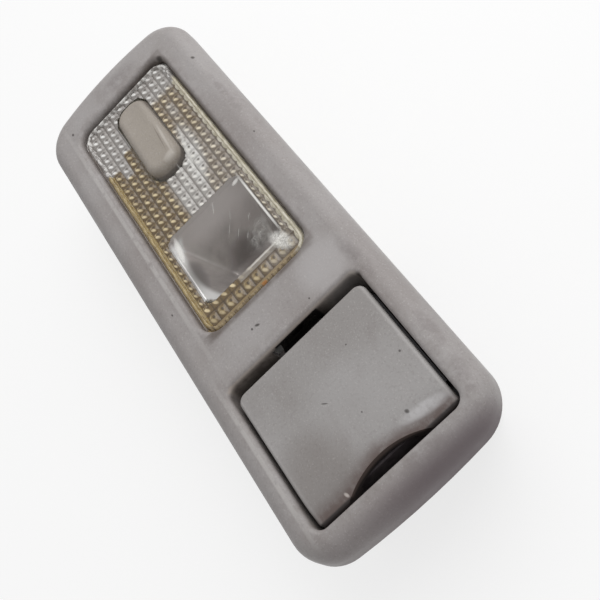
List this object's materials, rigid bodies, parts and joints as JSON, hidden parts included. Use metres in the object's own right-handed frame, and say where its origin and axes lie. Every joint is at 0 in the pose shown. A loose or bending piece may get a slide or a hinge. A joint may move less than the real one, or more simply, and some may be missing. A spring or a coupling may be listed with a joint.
{
  "type": "door courtesy light",
  "caption": "Oblong door courtesy light in a grey moulded panel, with a beaded clear lens, a rocker switch and a lidded lift-out ashtray at one end.",
  "frame": {"origin": "centre of the unit's box, on its back plane", "axes": "+X along the panel towards the ashtray, +Y across it, +Z out of the visible face"},
  "size_m": [0.178, 0.058, 0.033],
  "materials": {
    "grey_trim": "fine-grained warm grey moulding, worn at the rims",
    "clear_lens": "clear moulded acrylic, beaded and yellowed",
    "lamp_body": "natural white heat-resistant moulding",
    "silvered": "metallised, dulled",
    "bulb_glass": "clear glass",
    "bulb_cap": "nickelled brass",
    "contact_brass": "stamped brass, dull",
    "spring_steel": "plain spring steel",
    "screw_steel": "zinc-plated steel",
    "black_bin": "black heat-resistant moulding"
  },
  "bodies": {
    "panel": {"bezel": "grey_trim", "lens": "clear_lens", "lamp_base": "lamp_body", "reflector": "silvered", "bulb_glass": "bulb_glass", "bulb_caps": "bulb_cap", "live_strip": "contact_brass", "return_strip": "contact_brass", "door_strip": "contact_brass", "earth_strip": "contact_brass", "base_screws": "screw_steel", "panel_clip": "spring_steel"},
    "rocker": {"switch_rocker": "grey_trim", "contact_plunger": "contact_brass", "rocker_spring": "spring_steel"},
    "bin": {"ashtray_bin": "black_bin", "bin_spring": "spring_steel", "stubber": "spring_steel", "lid_hinge_pin": "screw_steel", "lid_spring": "spring_steel"},
    "lid": {"ashtray_lid": "grey_trim"}
  },
  "joints": [
    {"name": "rocker_pivot", "type": "hinge", "parent": "panel", "child": "rocker", "pos_m": [-0.0525, 0, 0.0239], "axis": [0, 1, 0], "range_deg": [0, 9]},
    {"name": "bin_pull", "type": "slide", "parent": "panel", "child": "bin", "axis": [0, 0, 1], "range_m": [0, 0.03]},
    {"name": "lid_hinge", "type": "hinge", "parent": "bin", "child": "lid", "pos_m": [0.045, 0, 0.025], "axis": [0, -1, 0], "range_deg": [0, 80]}
  ]
}
